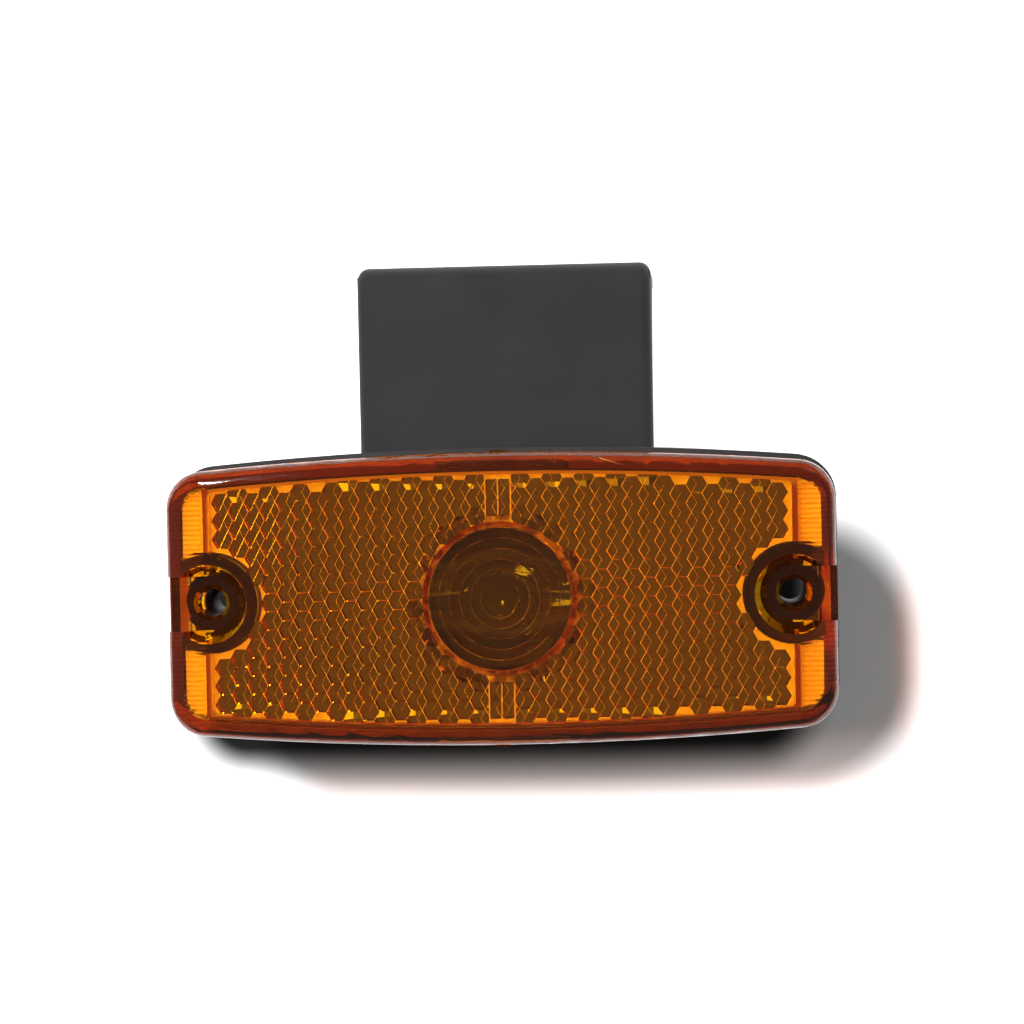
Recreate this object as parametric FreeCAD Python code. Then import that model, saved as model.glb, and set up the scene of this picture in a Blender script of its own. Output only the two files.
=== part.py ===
import FreeCAD
import Part
import math
import os

# Amber side marker lamp with a reflex field, a bullseye optic and a black hanging bracket.
# +Z is up, +X runs along the lamp and -Y is the way the light leaves. The origin is the
# middle of the two slots, on the bracket's upper mounting face. Sizes are millimetres.
# Most of the lamp is laid out by depth, the distance behind the front face of the lens.

Vector = FreeCAD.Vector

# Lamp outline, shared by the lens, the gasket and the base
LAMP_WIDTH = 103.0
LAMP_HEIGHT = 44.9
EDGE_BOW = 2.5              # rise of the upper and lower edge, from the ends to the middle
CORNER_RADIUS = 6.0
LAMP_DROP = 52.5            # bracket's upper face down to the lamp's axis

# Lens
LENS_DEPTH = 14.5
LENS_WALL = 2.6
FRONT_WALL = 2.4
FRONT_ROUND = 2.0
PANEL_STEP = 0.5
PANEL_INSET = 2.45          # lamp's edge to the raised panel, above and below
PANEL_END_INSET = 5.75      # lamp's end to the raised panel
PANEL_CORNER = 0.8
END_ROLL_RADIUS = 9.0       # the front rolls back towards each end
FLUTE_PITCH = 0.75
FLUTE_HEIGHT = 0.1
FLUTE_SETBACK = 0.2         # how far the flutes' roots stand off the rolled inner face
GRIP_RIB_COUNT = 3
GRIP_RIB_PITCH = 0.8
GRIP_RIB_RADIUS = 0.45
GRIP_RIB_GAP = 2.5          # ribs to the lens's open edge

# Screw pockets at the lens's ends
SCREW_END_INSET = 6.5       # lamp's end to the screw's axis
SCREW_HOLE_RADIUS = 2.2
SCREW_TUBE_WALL = 2.4
SEAT_CHAMFER = 0.6
POCKET_RIM_RADIUS = 6.1
POCKET_FLOOR_RADIUS = 4.2
POCKET_DEPTH = 5.0
POCKET_WALL = 1.5
POCKET_FLOOR = 2.0
CHANNEL_WIDTH = 8.4         # the way from the pocket to the lamp's end

# Reflex field: hexagonal pins with a cube corner on each
PIN_PITCH = 2.83            # across the flats
PIN_ROOT = 0.2              # lowest point of a pin above the lens's inner face
PIN_SINK = 1.0              # how far the field is rooted into the front wall
FIELD_STRIP = 1.95          # lamp's middle to the straight seam beside it
FIELD_SEAM = 0.2            # width of the straight seams between blocks of pins
WELD_RIB = 0.9

# Bullseye optic
BULLSEYE_RADIUS = 11.0
DOME_RADIUS = 3.0
DOME_HEIGHT = 0.75
RING_COUNT = 5
RING_HEIGHT = 0.9

# Plate behind the reflex field
BACKING_GAP = 0.3           # pin tips to the plate
BACKING_THICKNESS = 1.5
BACKING_CLEARANCE = 0.3

# Gasket and base
GASKET_THICKNESS = 1.0
GASKET_INSET = 0.3
BASE_DEPTH = 10.5
BASE_FLOOR = 2.2
BASE_LIP = 0.7              # how far the base stands out past the lens
BASE_BACK_CHAMFER = 1.2
TONGUE_HEIGHT = 2.5         # above the lens's open edge
TONGUE_WALL = 1.6
TONGUE_CLEARANCE = 0.25
TUBE_CLEARANCE = 0.4
SNAP_LENGTH = 20.0
SNAP_BITE = 0.4             # how far a bead reaches into the lens's wall
SNAP_HEIGHT = 0.9
SNAP_SETBACK = 0.7          # tongue's top to the bead
SNAP_CLEARANCE = 0.15

# Festoon bulb, lying along X
BULB_DEPTH = 14.0           # lens's front face to the bulb's axis
GLASS_RADIUS = 5.2
GLASS_WALL = 0.6
GLASS_HALF_LENGTH = 12.5
GLASS_NECK_RADIUS = 3.3
GLASS_NECK_LENGTH = 1.5
SHOULDER_STEPS = 3          # cones that make up each round shoulder of the glass
CAP_RADIUS = 3.9
CAP_BARREL = 3.7
CAP_CONE = 2.0
CAP_TIP_RADIUS = 1.2
COIL_RADIUS = 0.45
COIL_HALF_LENGTH = 4.0
LEAD_RADIUS = 0.2

# Spring contacts and their terminals
CONTACT_THICKNESS = 0.5
CONTACT_WIDTH = 8.0
CONTACT_BITE = 0.8          # how far the cone's root stands in front of the leaf
CONTACT_CLEARANCE = 0.05
CONTACT_TOP = 5.5           # leaf above the bulb's axis
CONTACT_FOOT = 14.5
CONTACT_BEND = 0.8
PAD_HEIGHT = 3.2
PAD_MARGIN = 1.0
STAKE_OFFSET = 4.2          # leaf to the staked stud
STAKE_RADIUS = 1.2
STAKE_HEAD_RADIUS = 2.1
STAKE_HEAD_HEIGHT = 0.8
TERMINAL_OFFSET = 10.5      # leaf to the terminal screw
TERMINAL_SHANK_RADIUS = 1.5
TERMINAL_REACH = 3.0        # shank's length below the contact's foot
TERMINAL_HEAD_RADIUS = 2.75
TERMINAL_HEAD_HEIGHT = 1.9
TERMINAL_SLOT_WIDTH = 0.7
TERMINAL_SLOT_DEPTH = 1.0
CLAMP_SIDE = 6.4
CLAMP_THICKNESS = 0.8
NUT_SIDE = 5.5
NUT_HEIGHT = 2.4

# Cable grommet
GROMMET_EDGE_INSET = 11.45  # lamp's lower edge up to the grommet's axis
GROMMET_BORE_RADIUS = 2.2
GROMMET_NECK_RADIUS = 4.0
GROMMET_FLANGE_RADIUS = 6.0
GROMMET_FLANGE = 1.6
GROMMET_LIP_RADIUS = 5.2
GROMMET_LIP = 1.4

# Bracket
BRACKET_WIDTH = 47.4
BRACKET_THICKNESS = 3.0
BRACKET_DEPTH = 32.0
BRACKET_TAIL = 3.0          # plate's lower edge below the lamp's axis
TAIL_CORNER = 5.0
FLANGE_CORNER = 4.0
BEND_RADIUS = 3.2
BEND_INNER_RADIUS = 2.0
SKIN_ROUND = 1.8            # edge of the front skin, all round
GUSSET_THICKNESS = 3.0
GUSSET_DEPTH = 24.0
GUSSET_HEIGHT = 30.0
GUSSET_HOLLOW = 5.0         # how far the gusset's free edge is drawn in
SLOT_SPACING = 26.0
SLOT_LENGTH = 9.0
SLOT_WIDTH = 5.5
SLOT_SETBACK = 18.0         # plate's front face to the slots

# Screws from the bracket into the base
FIXING_SPACING = 30.0
FIXING_RISE = 8.0           # above the lamp's axis
FIXING_SHANK_RADIUS = 1.75
FIXING_BITE = 6.5           # shank's length in the base
FIXING_CLEARANCE = 0.45
FIXING_BOSS_WALL = 1.85
FIXING_BOSS_ROOF = 1.5
FIXING_HEAD_RADIUS = 3.8
FIXING_HEAD_HEIGHT = 2.6
FIXING_CROWN_HEIGHT = 1.5
FIXING_CROWN_RADIUS = 2.7
CROSS_WIDTH = 1.0
CROSS_LENGTH = 4.4
CROSS_DEPTH = 1.5
WASHER_RADIUS = 4.5
WASHER_THICKNESS = 0.8

# Places that follow from the sizes above
BASE_FRONT = LENS_DEPTH + GASKET_THICKNESS
LAMP_DEPTH = BASE_FRONT + BASE_DEPTH
FLOOR_DEPTH = LAMP_DEPTH - BASE_FLOOR
LAMP_BACK_Y = -SLOT_SETBACK
LENS_FRONT_Y = LAMP_BACK_Y - LAMP_DEPTH
AXIS_Z = -LAMP_DROP
EDGE_RADIUS = ((LAMP_WIDTH / 2) ** 2 + EDGE_BOW ** 2) / (2 * EDGE_BOW)
INNER_FACE = PANEL_STEP + FRONT_WALL
FIELD_ROOT = INNER_FACE - PIN_SINK
PANEL_HALF = LAMP_WIDTH / 2 - PANEL_END_INSET
SCREW_X = LAMP_WIDTH / 2 - SCREW_END_INSET
SCREW_TUBE_RADIUS = SCREW_HOLE_RADIUS + SCREW_TUBE_WALL
POCKET_OUTER = POCKET_RIM_RADIUS + POCKET_WALL
PIN_STEP = PIN_PITCH / math.sqrt(6)      # height of one cube edge along the optical axis
PIN_TIP = INNER_FACE + PIN_ROOT + 2 * PIN_STEP
BACKING_DEPTH = PIN_TIP + BACKING_GAP
RIB_OUTER = BULLSEYE_RADIUS + WELD_RIB
RIB_MIDDLE = BULLSEYE_RADIUS + WELD_RIB / 2
TONGUE_INSET = LENS_WALL + TONGUE_CLEARANCE
TONGUE_TOP = LENS_DEPTH - TONGUE_HEIGHT
CAP_END = GLASS_HALF_LENGTH + CAP_BARREL
LEAF_X = CAP_END + CONTACT_BITE
STAKE_X = LEAF_X + STAKE_OFFSET
TERMINAL_X = LEAF_X + TERMINAL_OFFSET
PAD_DEPTH = FLOOR_DEPTH - PAD_HEIGHT
FOOT_TOP = PAD_DEPTH - CONTACT_THICKNESS
GROMMET_DROP = LAMP_HEIGHT / 2 - GROMMET_EDGE_INSET
FIXING_X = FIXING_SPACING / 2
FIXING_HOLE_RADIUS = FIXING_SHANK_RADIUS + FIXING_CLEARANCE
PLATE_BACK = LAMP_DEPTH + BRACKET_THICKNESS
BEYOND = 1.0                # how far a cutter runs past what it cuts


def at(x, depth, rise):
    """A point by its place along the lamp, its depth and its height above the lamp's axis."""
    return Vector(x, LENS_FRONT_Y + depth, AXIS_Z + rise)


def rod(x, rise, radius, depth, end):
    """A round solid along the optical axis between two depths."""
    return Part.makeCylinder(radius, end - depth, at(x, depth, rise), Vector(0, 1, 0))


def taper(x, rise, radius, depth, end_radius, end):
    """A cone along the optical axis between two depths."""
    return Part.makeCone(radius, end_radius, end - depth, at(x, depth, rise), Vector(0, 1, 0))


def brick(x0, x1, depth, end, low, high):
    """A plain block between two places along X, two depths and two heights."""
    return Part.makeBox(x1 - x0, end - depth, high - low, at(x0, depth, low))


def square(x, side, depth, end):
    """A square block on the lamp's axis between two depths."""
    return brick(x - side / 2, x + side / 2, depth, end, -side / 2, side / 2)


def pair(solid):
    """The right-hand solid and its mirror image across the lamp's middle."""
    return [solid, solid.mirror(Vector(0, 0, 0), Vector(1, 0, 0))]


def edge_rise(x, inset):
    """Height of the lamp's upper edge above the axis, drawn in by the inset."""
    centre = LAMP_HEIGHT / 2 - EDGE_RADIUS
    return centre + math.sqrt((EDGE_RADIUS - inset) ** 2 - x ** 2)


def outline_wire(half, inset, depth):
    """The lamp's four-sided outline: two bowed edges and two straight ends."""
    top = edge_rise(half, inset)
    middle = edge_rise(0, inset)
    upper = Part.Arc(at(-half, depth, top), at(0, depth, middle), at(half, depth, top)).toShape()
    lower = Part.Arc(at(half, depth, -top), at(0, depth, -middle), at(-half, depth, -top)).toShape()
    right = Part.makeLine(at(half, depth, top), at(half, depth, -top))
    left = Part.makeLine(at(-half, depth, -top), at(-half, depth, top))
    return Part.Wire([upper, right, lower, left])


def rounded_block(half, inset, corner, depth, end):
    """The outline as a block between two depths, with round corners."""
    block = Part.Face(outline_wire(half, inset, depth)).extrude(Vector(0, end - depth, 0))
    posts = [e for e in block.Edges if abs(e.Vertexes[0].Y - e.Vertexes[-1].Y) > (end - depth) / 2]
    return block.makeFillet(corner, posts)


def lamp_block(inset, depth, end):
    """The lamp's whole outline, drawn in all round by the inset."""
    corner = max(CORNER_RADIUS - inset, PANEL_CORNER)
    return rounded_block(LAMP_WIDTH / 2 - inset, inset, corner, depth, end)


def panel_block(inset, depth, end):
    """The outline of the raised panel, drawn in all round by the inset."""
    return rounded_block(PANEL_HALF - inset, PANEL_INSET + inset, PANEL_CORNER, depth, end)


def rolled_block(face_depth, radius, half, end):
    """A tall block whose front is flat over the panel and rolls back towards both ends."""
    reach = half - PANEL_HALF
    drop = radius - math.sqrt(radius ** 2 - reach ** 2)
    turn = math.asin(reach / radius) / 2
    mid_x = PANEL_HALF + radius * math.sin(turn)
    mid_depth = face_depth + radius * (1 - math.cos(turn))
    low = -LAMP_HEIGHT
    starts = [at(s * PANEL_HALF, face_depth, low) for s in (-1, 1)]
    ends = [at(s * half, face_depth + drop, low) for s in (-1, 1)]
    left = Part.Arc(ends[0], at(-mid_x, mid_depth, low), starts[0]).toShape()
    right = Part.Arc(starts[1], at(mid_x, mid_depth, low), ends[1]).toShape()
    front = Part.makeLine(starts[0], starts[1])
    back = Part.makePolygon([ends[1], at(half, end, low), at(-half, end, low), ends[0]])
    profile = Part.Wire([left, front, right] + back.Edges)
    return Part.Face(profile).extrude(Vector(0, 0, 2 * LAMP_HEIGHT))


def is_front_edge(shape, edge):
    """True where a wall of the block meets its front."""
    middle = edge.valueAt((edge.FirstParameter + edge.LastParameter) / 2)
    facing = []
    for face in shape.ancestorsOfType(edge, Part.Face):
        u, v = face.Surface.parameter(middle)
        facing.append(abs(face.normalAt(u, v).y))
    return min(facing) < 0.1 and max(facing) > 0.5


def lens_form():
    """The lens as a full block with its rounded front edge."""
    block = lamp_block(0, PANEL_STEP - BEYOND, LENS_DEPTH)
    block = block.common(rolled_block(PANEL_STEP, END_ROLL_RADIUS, LAMP_WIDTH / 2, LENS_DEPTH))
    return block.makeFillet(FRONT_ROUND, [e for e in block.Edges if is_front_edge(block, e)])


def lens_hollow():
    """The space inside the lens, open at the back."""
    end = LENS_DEPTH + BEYOND
    radius = END_ROLL_RADIUS - FRONT_WALL
    space = rolled_block(INNER_FACE, radius, LAMP_WIDTH / 2 - LENS_WALL, end)
    return lamp_block(LENS_WALL, PANEL_STEP, end).common(space)


def raised_panel():
    """The low step on the front, cut round by the screw pockets."""
    panel = panel_block(0, 0, PANEL_STEP + BEYOND)
    cut = rod(SCREW_X, 0, POCKET_OUTER - WELD_RIB, -BEYOND, PANEL_STEP + 2 * BEYOND)
    return panel.cut(pair(cut))


def pocket_housings(form):
    """Walls and floor round each screw pocket, and the tube that stands on the base."""
    floor = POCKET_DEPTH + POCKET_FLOOR
    rim = CHANNEL_WIDTH / 2 + POCKET_WALL
    wall = rod(SCREW_X, 0, POCKET_OUTER, PANEL_STEP, floor)
    channel = brick(SCREW_X, LAMP_WIDTH / 2, PANEL_STEP, floor, -rim, rim)
    tube = rod(SCREW_X, 0, SCREW_TUBE_RADIUS, PANEL_STEP, LENS_DEPTH)
    return [h.common(form) for h in pair(wall.fuse([channel, tube]))]


def pocket_cutters():
    """What is taken out of each end: the pocket, its way to the end, the bore and its chamfer."""
    mouth = rod(SCREW_X, 0, POCKET_RIM_RADIUS, -BEYOND, PANEL_STEP)
    pocket = taper(SCREW_X, 0, POCKET_RIM_RADIUS, PANEL_STEP, POCKET_FLOOR_RADIUS, POCKET_DEPTH)
    half = CHANNEL_WIDTH / 2
    channel = brick(SCREW_X, LAMP_WIDTH / 2 + BEYOND, -BEYOND, POCKET_DEPTH, -half, half)
    bore = rod(SCREW_X, 0, SCREW_HOLE_RADIUS, -BEYOND, LENS_DEPTH + BEYOND)
    wide = SCREW_HOLE_RADIUS + SEAT_CHAMFER
    chamfer = taper(SCREW_X, 0, wide, POCKET_DEPTH, SCREW_HOLE_RADIUS, POCKET_DEPTH + SEAT_CHAMFER)
    return pair(mouth.fuse([pocket, channel, bore, chamfer]))


def weld_ribs():
    """The thin walls on the lens's inner face that carry the backing plate."""
    frame = panel_block(0, FIELD_ROOT, BACKING_DEPTH)
    frame = frame.cut(panel_block(WELD_RIB, FIELD_ROOT - BEYOND, BACKING_DEPTH + BEYOND))
    gap = rod(SCREW_X, 0, POCKET_RIM_RADIUS, FIELD_ROOT - BEYOND, BACKING_DEPTH + BEYOND)
    ring = rod(0, 0, RIB_OUTER, FIELD_ROOT, BACKING_DEPTH)
    ring = ring.cut(rod(0, 0, BULLSEYE_RADIUS, FIELD_ROOT - BEYOND, BACKING_DEPTH + BEYOND))
    return [frame.cut(pair(gap)), ring]


def end_flutes():
    """Saw-edged ribs along X inside the lens's end bands, above and below the pockets."""
    wall = LAMP_WIDTH / 2 - LENS_WALL
    roll = END_ROLL_RADIUS - FRONT_WALL
    drop = roll - math.sqrt(roll ** 2 - (wall - PANEL_HALF) ** 2)
    valley = INNER_FACE + drop + FLUTE_SETBACK
    x = PANEL_HALF - WELD_RIB / 2
    low = CHANNEL_WIDTH / 2 + POCKET_WALL
    count = int((edge_rise(wall, LENS_WALL) - low) / FLUTE_PITCH)
    points = [at(x, FIELD_ROOT, low), at(x, valley, low)]
    for i in range(count):
        points.append(at(x, valley + FLUTE_HEIGHT, low + (i + 0.5) * FLUTE_PITCH))
        points.append(at(x, valley, low + (i + 1) * FLUTE_PITCH))
    points += [at(x, FIELD_ROOT, low + count * FLUTE_PITCH), points[0]]
    upper = Part.Face(Part.makePolygon(points)).extrude(Vector(wall + FLUTE_SETBACK - x, 0, 0))
    lower = upper.mirror(at(0, 0, 0), Vector(0, 0, 1))
    return pair(upper) + pair(lower)


def grip_ribs():
    """Short ribs on the outside of the upper and lower wall, in the middle."""
    ribs = []
    for i in range(GRIP_RIB_COUNT):
        x = (i - (GRIP_RIB_COUNT - 1) / 2) * GRIP_RIB_PITCH
        for rise in (edge_rise(x, 0), -edge_rise(x, 0)):
            ribs.append(rod(x, rise, GRIP_RIB_RADIUS, PANEL_STEP + FRONT_ROUND, LENS_DEPTH - GRIP_RIB_GAP))
    return ribs


def bullseye():
    """A stepped optic on the lens's inner face: a dome and rings, turned about the axis."""
    width = (BULLSEYE_RADIUS - DOME_RADIUS) / RING_COUNT
    ball = (DOME_RADIUS ** 2 + DOME_HEIGHT ** 2) / (2 * DOME_HEIGHT)
    middle = DOME_HEIGHT - ball + math.sqrt(ball ** 2 - (DOME_RADIUS / 2) ** 2)
    top = at(0, INNER_FACE + DOME_HEIGHT, 0)
    foot = at(DOME_RADIUS, INNER_FACE, 0)
    crown = Part.Arc(top, at(DOME_RADIUS / 2, INNER_FACE + middle, 0), foot).toShape()
    points = [foot]
    for i in range(RING_COUNT):
        inner = DOME_RADIUS + i * width
        points.append(at(inner, INNER_FACE + RING_HEIGHT, 0))
        points.append(at(inner + width, INNER_FACE, 0))
    points += [at(BULLSEYE_RADIUS, FIELD_ROOT, 0), at(0, FIELD_ROOT, 0), top]
    profile = Part.Wire([crown] + Part.makePolygon(points).Edges)
    return Part.Face(profile).revolve(at(0, 0, 0), Vector(0, 1, 0), 360)


def pin_corners(x, rise):
    """The six corners of a hexagonal pin with its flats above and below."""
    radius = PIN_PITCH / math.sqrt(3)
    angles = [math.radians(60 * k) for k in range(6)]
    return [(x + radius * math.cos(a), rise + radius * math.sin(a)) for a in angles]


def in_field(x, rise):
    """True where a pin's centre lies inside the weld rib, clear of the optic and the pocket."""
    return (x < PANEL_HALF - WELD_RIB
            and abs(rise) < edge_rise(x, PANEL_INSET + WELD_RIB)
            and math.hypot(x, rise) > RIB_OUTER
            and math.hypot(x - SCREW_X, rise) > POCKET_OUTER)


def pin_centres():
    """Centres of the right half's pins, on a honeycomb."""
    first = FIELD_STRIP / 2
    step = PIN_PITCH * math.sqrt(3) / 2
    columns = int((PANEL_HALF - first) / step) + 1
    rows = int(LAMP_HEIGHT / 2 / PIN_PITCH) + 1
    grid = [(first + i * step, (j + i % 2 / 2) * PIN_PITCH)
            for i in range(columns) for j in range(-rows, rows + 1)]
    return [centre for centre in grid if in_field(*centre)]


def field_region():
    """Where the right half's pins stand: up to the middle of the ribs, with two straight seams."""
    start = FIELD_ROOT - BEYOND
    end = BACKING_DEPTH + BEYOND
    seam = FIELD_SEAM / 2
    middle = brick(-PANEL_HALF, seam, start, end, -LAMP_HEIGHT, LAMP_HEIGHT)
    side = brick(FIELD_STRIP - seam, FIELD_STRIP + seam, start, end, -LAMP_HEIGHT, LAMP_HEIGHT)
    optic = rod(0, 0, RIB_MIDDLE, start, end)
    pocket = rod(SCREW_X, 0, POCKET_OUTER - WELD_RIB / 2, start, end)
    return panel_block(WELD_RIB / 2, FIELD_ROOT, BACKING_DEPTH).cut([middle, side, optic, pocket])


def place(point):
    """A point's place on the front, as a key to find the same point again."""
    return round(point.x, 3), round(point.z, 3)


def closed_loop(sides):
    """The separate sides of a border, each a start and an end, as one closed polygon."""
    onward = {place(start): end for start, end in sides}
    points = [sides[0][0]]
    for _ in sides:
        points.append(onward[place(points[-1])])
    return Part.makePolygon(points)


def reflex_half():
    """The right half of the reflex field: cube corners joined into one solid, cut at the ribs."""
    low = INNER_FACE + PIN_ROOT
    heights = [low + PIN_STEP, low]          # a pin's corners stand high and low in turn
    faces = []
    sides = {}
    for x, rise in pin_centres():
        tip = at(x, PIN_TIP, rise)
        rim = [at(a, heights[k % 2], b) for k, (a, b) in enumerate(pin_corners(x, rise))]
        for k in (0, 2, 4):
            faces.append(Part.Face(Part.makePolygon([tip, rim[k], rim[k + 1], rim[(k + 2) % 6], tip])))
        for start, end in zip(rim, rim[1:] + rim[:1]):
            key = frozenset((place(start), place(end)))
            sides[key] = None if key in sides else (start, end)
    border = [side for side in sides.values() if side]
    roots = [[Vector(p.x, LENS_FRONT_Y + FIELD_ROOT, p.z) for p in side] for side in border]
    for (start, end), (root_start, root_end) in zip(border, roots):
        faces.append(Part.Face(Part.makePolygon([root_start, root_end, end, start, root_start])))
    faces.append(Part.Face(closed_loop(roots)))
    skin = Part.Compound(faces)
    skin.sewShape()
    return Part.Solid(skin.Shells[0]).common(field_region())


def snap_band(inset, spare):
    """Two straight stretches of the outline, above and below, where lens and base snap together."""
    start = TONGUE_TOP + SNAP_SETBACK - spare
    end = TONGUE_TOP + SNAP_SETBACK + SNAP_HEIGHT + spare
    half = SNAP_LENGTH / 2 + spare
    window = brick(-half, half, start, end, -LAMP_HEIGHT, LAMP_HEIGHT)
    return lamp_block(inset, start, end).common(window)


def make_lens():
    """The amber cover with its pockets, flutes, optic and reflex field, moulded as one."""
    form = lens_form()
    lens = form.cut(lens_hollow())
    lens = lens.fuse([raised_panel(), bullseye()] + pocket_housings(form) + weld_ribs()
                     + grip_ribs() + end_flutes())
    groove = snap_band(LENS_WALL - SNAP_BITE - SNAP_CLEARANCE, SNAP_CLEARANCE)
    lens = lens.cut(pocket_cutters() + [groove])
    return lens.fuse(pair(reflex_half())).removeSplitter()


def make_reflex_backing():
    """The pale plate behind the reflex field and the end bands, open behind the optic."""
    start = BACKING_DEPTH - BEYOND
    end = BACKING_DEPTH + BACKING_THICKNESS
    window = rod(0, 0, BULLSEYE_RADIUS, start, end + BEYOND)
    rim = CHANNEL_WIDTH / 2 + POCKET_WALL + BACKING_CLEARANCE
    gap = rod(SCREW_X, 0, POCKET_OUTER + BACKING_CLEARANCE, start, end + BEYOND)
    gap = gap.fuse(brick(SCREW_X, LAMP_WIDTH / 2, start, end + BEYOND, -rim, rim))
    return lamp_block(LENS_WALL + BACKING_CLEARANCE, BACKING_DEPTH, end).cut([window] + pair(gap))


def make_lens_gasket():
    """The flat seal between the lens's open edge and the base."""
    inside = lamp_block(LENS_WALL, LENS_DEPTH - BEYOND, BASE_FRONT + BEYOND)
    tube = rod(SCREW_X, 0, SCREW_TUBE_RADIUS + TUBE_CLEARANCE, LENS_DEPTH - BEYOND, BASE_FRONT + BEYOND)
    return lamp_block(GASKET_INSET, LENS_DEPTH, BASE_FRONT).cut([inside] + pair(tube))


def contact_pad():
    """The raised pad under one contact's foot, with the staked stud and the nut's pocket."""
    half = CONTACT_WIDTH / 2 + PAD_MARGIN
    end = LEAF_X + CONTACT_FOOT + PAD_MARGIN
    pad = brick(LEAF_X - PAD_MARGIN, end, PAD_DEPTH, FLOOR_DEPTH + BASE_FLOOR / 2, -half, half)
    stud = rod(STAKE_X, 0, STAKE_RADIUS, FOOT_TOP, PAD_DEPTH)
    head = rod(STAKE_X, 0, STAKE_HEAD_RADIUS, FOOT_TOP - STAKE_HEAD_HEIGHT, FOOT_TOP)
    nut = square(TERMINAL_X, NUT_SIDE + 2 * CONTACT_CLEARANCE, PAD_DEPTH - BEYOND, PAD_DEPTH + NUT_HEIGHT)
    return pad.cut(nut).fuse([stud, head])


def terminal_well():
    """Room for the end of a terminal screw under its nut."""
    return rod(TERMINAL_X, 0, TERMINAL_SHANK_RADIUS + CONTACT_CLEARANCE, PAD_DEPTH,
               PAD_DEPTH + TERMINAL_REACH + CONTACT_CLEARANCE)


def fixing_boss():
    """The blind boss inside the base that one of the bracket's screws bites into."""
    top = LAMP_DEPTH - FIXING_BITE - FIXING_BOSS_ROOF
    radius = FIXING_SHANK_RADIUS + FIXING_BOSS_WALL
    return rod(FIXING_X, FIXING_RISE, radius, top, FLOOR_DEPTH + BASE_FLOOR / 2)


def base_tray():
    """The base's outer wall and floor, with the tongue and snap beads that hold the lens."""
    body = lamp_block(-BASE_LIP, BASE_FRONT, LAMP_DEPTH)
    rim = [e for e in body.Edges if all(abs(v.Y - LAMP_BACK_Y) < BASE_DEPTH / 2 for v in e.Vertexes)]
    body = body.makeChamfer(BASE_BACK_CHAMFER, rim)
    tongue = lamp_block(TONGUE_INSET, TONGUE_TOP, BASE_FRONT + BEYOND)
    body = body.fuse([tongue, snap_band(LENS_WALL - SNAP_BITE, 0)])
    body = body.cut(lamp_block(TONGUE_INSET + TONGUE_WALL, TONGUE_TOP - BEYOND, FLOOR_DEPTH))
    gap = rod(SCREW_X, 0, SCREW_TUBE_RADIUS + TUBE_CLEARANCE, TONGUE_TOP - BEYOND, LENS_DEPTH)
    return body.cut(pair(gap))


def make_base_housing():
    """The black tray with its screw tubes, contact pads, fixing bosses and cable inlet."""
    tube = rod(SCREW_X, 0, SCREW_TUBE_RADIUS, LENS_DEPTH, FLOOR_DEPTH + BASE_FLOOR / 2)
    body = base_tray().fuse(pair(tube) + pair(contact_pad()) + pair(fixing_boss()))
    bore = rod(SCREW_X, 0, SCREW_HOLE_RADIUS, LENS_DEPTH - BEYOND, LAMP_DEPTH + BEYOND)
    pilot = rod(FIXING_X, FIXING_RISE, FIXING_SHANK_RADIUS, LAMP_DEPTH - FIXING_BITE, LAMP_DEPTH + BEYOND)
    inlet = rod(0, -GROMMET_DROP, GROMMET_NECK_RADIUS, FLOOR_DEPTH - BEYOND, LAMP_DEPTH + BEYOND)
    holes = pair(bore) + pair(pilot) + pair(terminal_well()) + [inlet]
    return body.cut(holes).removeSplitter()


def turned(points):
    """A solid turned about the bulb's axis from points of place along X and radius."""
    profile = [at(x, BULB_DEPTH, radius) for x, radius in points]
    face = Part.Face(Part.makePolygon(profile + profile[:1]))
    return face.revolve(at(0, BULB_DEPTH, 0), Vector(1, 0, 0), 360)


def glass_profile(offset):
    """One skin of the glass from neck to neck, as places along X and radii."""
    neck = GLASS_NECK_RADIUS - offset
    curve = GLASS_RADIUS - GLASS_NECK_RADIUS
    body = GLASS_HALF_LENGTH - GLASS_NECK_LENGTH - curve
    turns = [math.pi / 2 * k / SHOULDER_STEPS for k in range(SHOULDER_STEPS + 1)]
    right = [(body + curve * math.sin(t), neck + curve * math.cos(t)) for t in turns]
    right.append((GLASS_HALF_LENGTH, neck))
    return [(-x, radius) for x, radius in reversed(right)] + right


def make_bulb_envelope():
    """The clear glass tube, drawn in to a neck at both ends."""
    return turned(glass_profile(0) + glass_profile(GLASS_WALL)[::-1])


def make_bulb_cap():
    """The right metal cap, with a cone that seats in the contact's hole."""
    tip = CAP_END + CAP_CONE
    return turned([(GLASS_HALF_LENGTH, 0), (GLASS_HALF_LENGTH, CAP_RADIUS), (CAP_END, CAP_RADIUS),
                   (tip, CAP_TIP_RADIUS), (tip, 0)])


def make_bulb_lead():
    """The right wire from the cap to the coil."""
    return turned([(COIL_HALF_LENGTH, 0), (COIL_HALF_LENGTH, LEAD_RADIUS),
                   (GLASS_HALF_LENGTH, LEAD_RADIUS), (GLASS_HALF_LENGTH, 0)])


def make_bulb_filament():
    """The coil, as a solid of its outer diameter."""
    return turned([(-COIL_HALF_LENGTH, 0), (-COIL_HALF_LENGTH, COIL_RADIUS),
                   (COIL_HALF_LENGTH, COIL_RADIUS), (COIL_HALF_LENGTH, 0)])


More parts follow.
